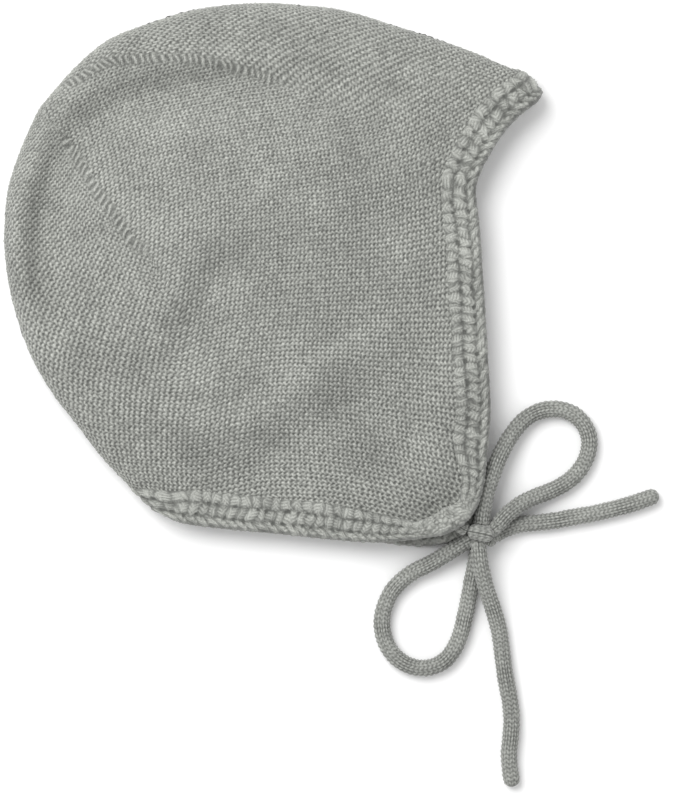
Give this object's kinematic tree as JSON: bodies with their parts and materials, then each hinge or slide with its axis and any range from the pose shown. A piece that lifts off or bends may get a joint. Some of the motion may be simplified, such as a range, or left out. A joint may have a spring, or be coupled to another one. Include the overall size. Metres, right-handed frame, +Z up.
{
  "type": "baby bonnet",
  "caption": "Knitted baby bonnet lying folded on its side, hollow and open at face and neck, with a crochet border and knitted ties in a bow.",
  "frame": {"origin": "on the surface that the bonnet lies on, under the middle of the bonnet's own box, without its ties", "axes": "+X the way the face looks, +Y from the neck to the crown, +Z up from the surface through both layers"},
  "size_m": [0.2106, 0.2514, 0.0263],
  "materials": {
    "knit": "fine textured knit, matt",
    "crochet": "bobbly crochet, matt",
    "cord": "smooth knitted cord, matt"
  },
  "bodies": {
    "root": {"knit_body": "knit", "face_edging": "crochet", "neck_edging": "crochet", "tie_knot": "cord", "near_lead": "cord", "upper_loop": "cord", "lower_loop": "cord", "right_tail": "cord", "lower_tail": "cord"}
  },
  "joints": []
}
